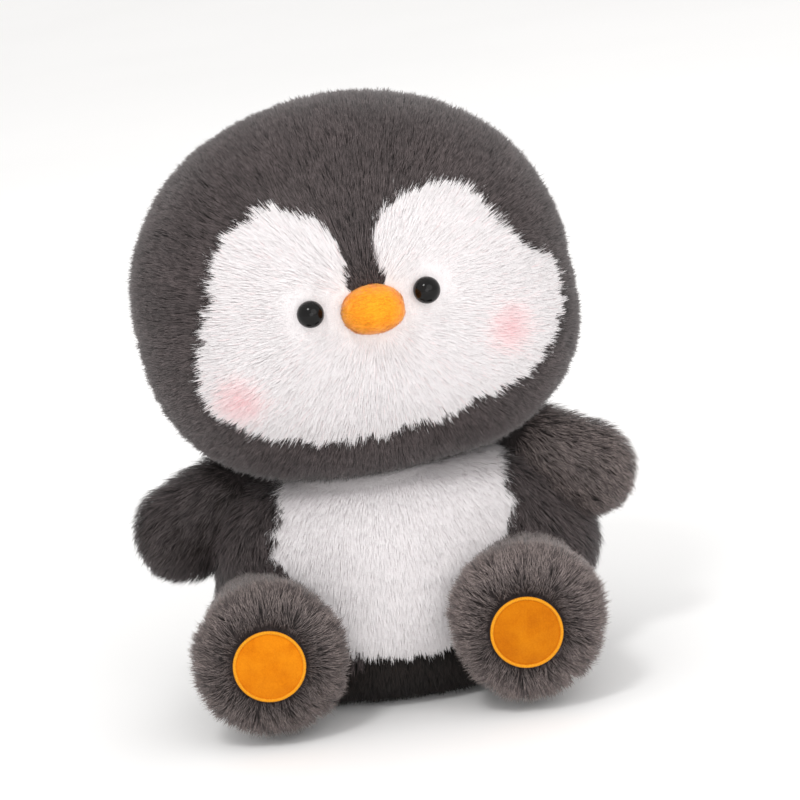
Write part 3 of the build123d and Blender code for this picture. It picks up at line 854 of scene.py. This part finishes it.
for s in ("left", "right"):
    c = PAD[s] + LEG_SHIFT[s] + PAD_SHIFT[s]
    rings, steps = 26, 96
    v = [c + np.array([0, -1.9, 0])]
    for j in range(1, rings + 1):
        rr = 12.5 * j / rings
        for i in range(steps):
            t = 2 * math.pi * i / steps
            puff = 1.9 - 1.3 * (j / rings) ** 3
            x, z = rr * math.cos(t), rr * math.sin(t)
            wrinkle = 0.12 * math.sin(x * 0.5 + z * 0.31) + 0.08 * math.sin(z * 0.9 - x * 0.4 + 1)
            v.append(c + np.array([x, -puff + wrinkle * (1 - (j / rings) ** 4), z]))
    for j in (1, 2):                      # the cut edge turns back under the stitching
        for i in range(steps):
            t = 2 * math.pi * i / steps
            rr = 12.8
            v.append(c + np.array([rr * math.cos(t), -0.6 + 0.9 * j, rr * math.sin(t)]))
    v = np.array(v)
    tri = np.array([[0, 1 + (i + 1) % steps, 1 + i] for i in range(steps)])
    quad = []
    for j in range(rings + 1):
        for i in range(steps):
            a, b = 1 + j * steps + i, 1 + j * steps + (i + 1) % steps
            quad.append([a, b, b + steps, a + steps])
    o = mesh_object(f"sole_felt_{s}", v, [(tri[:, ::-1], 0), (np.array(quad)[:, ::-1], 0)], [FELT_SIDE_SHADED[s].m])
    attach(o, f"leg_{s}"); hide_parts(f"sole_pad_{s}")
    # satin stitches: fine turns of thread laid across the edge, all round it
    turns, section = 132, 8
    ring_steps = turns * 4
    v, f = [], []
    for i in range(ring_steps):
        t = 2 * math.pi * i / ring_steps
        ridge = 0.10 * math.cos(turns * t)
        for j in range(section):
            a = 2 * math.pi * j / section
            rr = 12.6 + (0.6 + ridge) * math.cos(a)
            yy = -0.75 - (0.5 + ridge) * math.sin(a)
            v.append(c + np.array([rr * math.cos(t), yy, rr * math.sin(t)]))
    for i in range(ring_steps):
        for j in range(section):
            a, b = i * section + j, i * section + (j + 1) % section
            d, e = ((i + 1) % ring_steps) * section + j, ((i + 1) % ring_steps) * section + (j + 1) % section
            f.append([a, d, e, b])
    o = mesh_object(f"sole_stitching_{s}", np.array(v), [(np.array(f), 0)], [satin.m])
    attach(o, f"leg_{s}"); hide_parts(f"sole_pad_stitching_{s}")

# ------------------------------------------- nodes that stay as the CAD made them
thread = Nodes("thread_twisted_dark", rough=0.7, spec=0.3)
w = thread.noise(thread.mapping((1, 1, 0.2), (0.5, 0, 0)), 1500, 3)
thread.colour(thread.ramp(w, [(0.35, srgb(30, 26, 26)), (0.7, srgb(66, 60, 58))])); thread.bump(w, 0.0002)
fibre = Nodes("stuffing_fibre", rough=0.95, spec=0.1, sheen=0.2)
w = fibre.noise(fibre.mapping((1, 1, 0.4)), 420, 5, 0.7, 0.6)
fibre.colour(fibre.ramp(w, [(0.3, srgb(206, 204, 200)), (0.7, srgb(246, 245, 242))])); fibre.bump(w, 0.0008)
cloth = Nodes("pouch_weave", rough=0.9, spec=0.15)
w = cloth.noise(cloth.mapping((1, 1, 1)), 1200, 2)
cloth.colour(cloth.ramp(w, [(0.35, srgb(196, 188, 172)), (0.7, srgb(226, 220, 206))])); cloth.bump(w, 0.0002)
bead = Nodes("pellet_beads", rough=0.4, spec=0.4)
w = bead.noise(bead.mapping(), 500, 1)
bead.colour(bead.ramp(w, [(0.35, srgb(196, 196, 192)), (0.65, srgb(236, 236, 232))])); bead.bump(w, 0.0008)
washer = Nodes("washer_moulded", rough=0.45, spec=0.4)
w = washer.noise(washer.mapping(), 600, 3)
washer.colour(washer.ramp(w, [(0.35, srgb(212, 211, 206)), (0.7, srgb(232, 231, 227))])); washer.bump(w, 0.0001)
STAY = {"neck_seam_thread": thread.m, "back_closing_stitches": thread.m, "neck_stuffing": SKIN_DARK,
        "pellet_pouch": cloth.m, "pellet_fill": bead.m, "eye_washer_left": washer.m, "eye_washer_right": washer.m}
for node, m in STAY.items():
    o = frame["nodes"][node]
    for part in [o] + list(o.children_recursive):
        if part.type == "MESH":
            if not part.material_slots:
                part.data.materials.append(m)
            for sl in part.material_slots:
                sl.material = m

# -------------------------------------------------------------------- stage
floor_m = Nodes("studio_floor", rough=0.7, spec=0.2)
floor_m.colour(floor_m.ramp(floor_m.noise(floor_m.mapping(), 3, 2), [(0.3, (0.93, 0.93, 0.93, 1)), (0.7, (0.95, 0.95, 0.95, 1))]))
bm = bmesh.new()
bmesh.ops.create_grid(bm, x_segments=4, y_segments=4, size=6.0)
me = bpy.data.meshes.new("studio_floor"); bm.to_mesh(me); bm.free()
me.materials.append(floor_m.m)
floor = bpy.data.objects.new("studio_floor", me)
bpy.context.scene.collection.objects.link(floor)

world = bpy.data.worlds.new("studio"); bpy.context.scene.world = world
world.use_nodes = True
world.node_tree.nodes["Background"].inputs["Color"].default_value = (1.0, 0.99, 0.98, 1)
world.node_tree.nodes["Background"].inputs["Strength"].default_value = 0.97
bpy.context.scene.view_settings.view_transform = "Standard"


def area(name, loc, target, size, power, colour=(1, 1, 1)):
    d = bpy.data.lights.new(name, "AREA"); d.shape = "DISK"; d.size = size; d.energy = power; d.color = colour
    o = bpy.data.objects.new(name, d); bpy.context.scene.collection.objects.link(o)
    o.location = loc
    look = np.array(target) - np.array(loc); look = look / np.linalg.norm(look)
    from mathutils import Vector
    o.rotation_euler = Vector(look).to_track_quat("-Z", "Y").to_euler()
    return o


area("key", (0.85, -1.5, 0.95), (0, 0, 0.12), 1.5, 7.6, (1.0, 0.99, 0.985))
area("lamp", (-0.36, -0.9, 1.32), (0, 0, 0.12), 0.34, 6.0, (1.0, 0.99, 0.98))
area("low", (0.2, -1.9, 0.35), (0, 0, 0.08), 0.9, 3.5)
area("rim", (0.4, 1.3, 1.2), (0, 0, 0.14), 0.9, 2)

# ------------------------------------------------------------------- camera
ELEV, ROLL, DIST = 12.0, 7.5, 1.5
e, t = math.radians(ELEV), math.radians(ROLL)
right, up = np.array([1.0, 0, 0]), np.array([0, math.sin(e), math.cos(e)])
fwd = np.array([0, math.cos(e), -math.sin(e)])
aim = right * 0.0121 + up * 0.104
r2, u2 = right * math.cos(t) - up * math.sin(t), right * math.sin(t) + up * math.cos(t)
cam = bpy.data.cameras.new("camera"); cam.sensor_width = 36.0
cam.lens = 36.0 * DIST / (800 * 0.38 * MM)
cam_o = bpy.data.objects.new("camera", cam); bpy.context.scene.collection.objects.link(cam_o)
from mathutils import Matrix
pos = aim - fwd * DIST
M = Matrix.Identity(4)
for i in range(3):
    M[i][0], M[i][1], M[i][2], M[i][3] = r2[i], u2[i], -fwd[i], pos[i]
cam_o.matrix_world = M
bpy.context.scene.camera = cam_o
